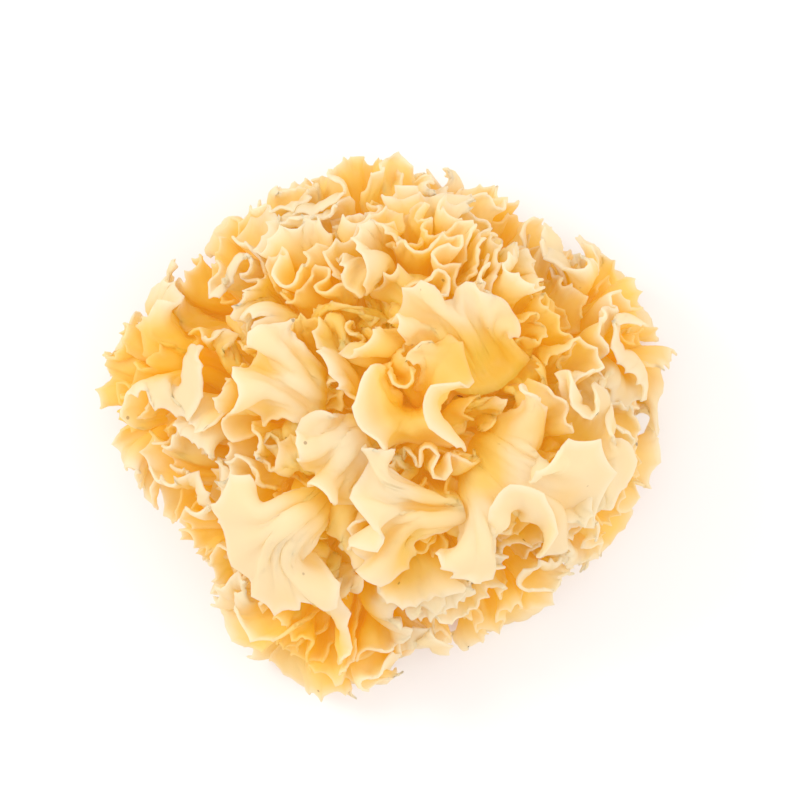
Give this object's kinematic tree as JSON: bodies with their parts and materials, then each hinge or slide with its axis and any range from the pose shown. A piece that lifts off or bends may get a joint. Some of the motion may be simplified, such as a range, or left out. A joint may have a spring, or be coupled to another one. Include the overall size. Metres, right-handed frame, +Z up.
{
  "type": "dried snow fungus",
  "caption": "Whole head of dried snow fungus: thin ruffled cream-yellow lobes on stalks that fan out from a hard tan heel, cut off flat underneath.",
  "frame": {"origin": "centre of the heel's flat cut, where the head rests", "axes": "+Z up, away from the cut; seen from above, +X is the picture's right and +Y its top"},
  "size_m": [0.1043, 0.0974, 0.0565],
  "materials": {
    "frond": "dried translucent fungus tissue, satin, cream-yellow with paler rims",
    "heel": "dried hard tan base, matt and wrinkled"
  },
  "bodies": {
    "root": {"heel": "heel", "frond_crown": "frond", "frond_upper_east": "frond", "frond_upper_northeast": "frond", "frond_upper_north": "frond", "frond_upper_northwest": "frond", "frond_upper_southwest": "frond", "frond_upper_south": "frond", "frond_upper_southeast": "frond", "frond_lower_east": "frond", "frond_lower_northeast": "frond", "frond_lower_north": "frond", "frond_lower_northnorthwest": "frond", "frond_lower_northwest": "frond", "frond_lower_west": "frond", "frond_lower_southwest": "frond", "frond_lower_south": "frond", "frond_lower_southeast": "frond"}
  },
  "joints": []
}
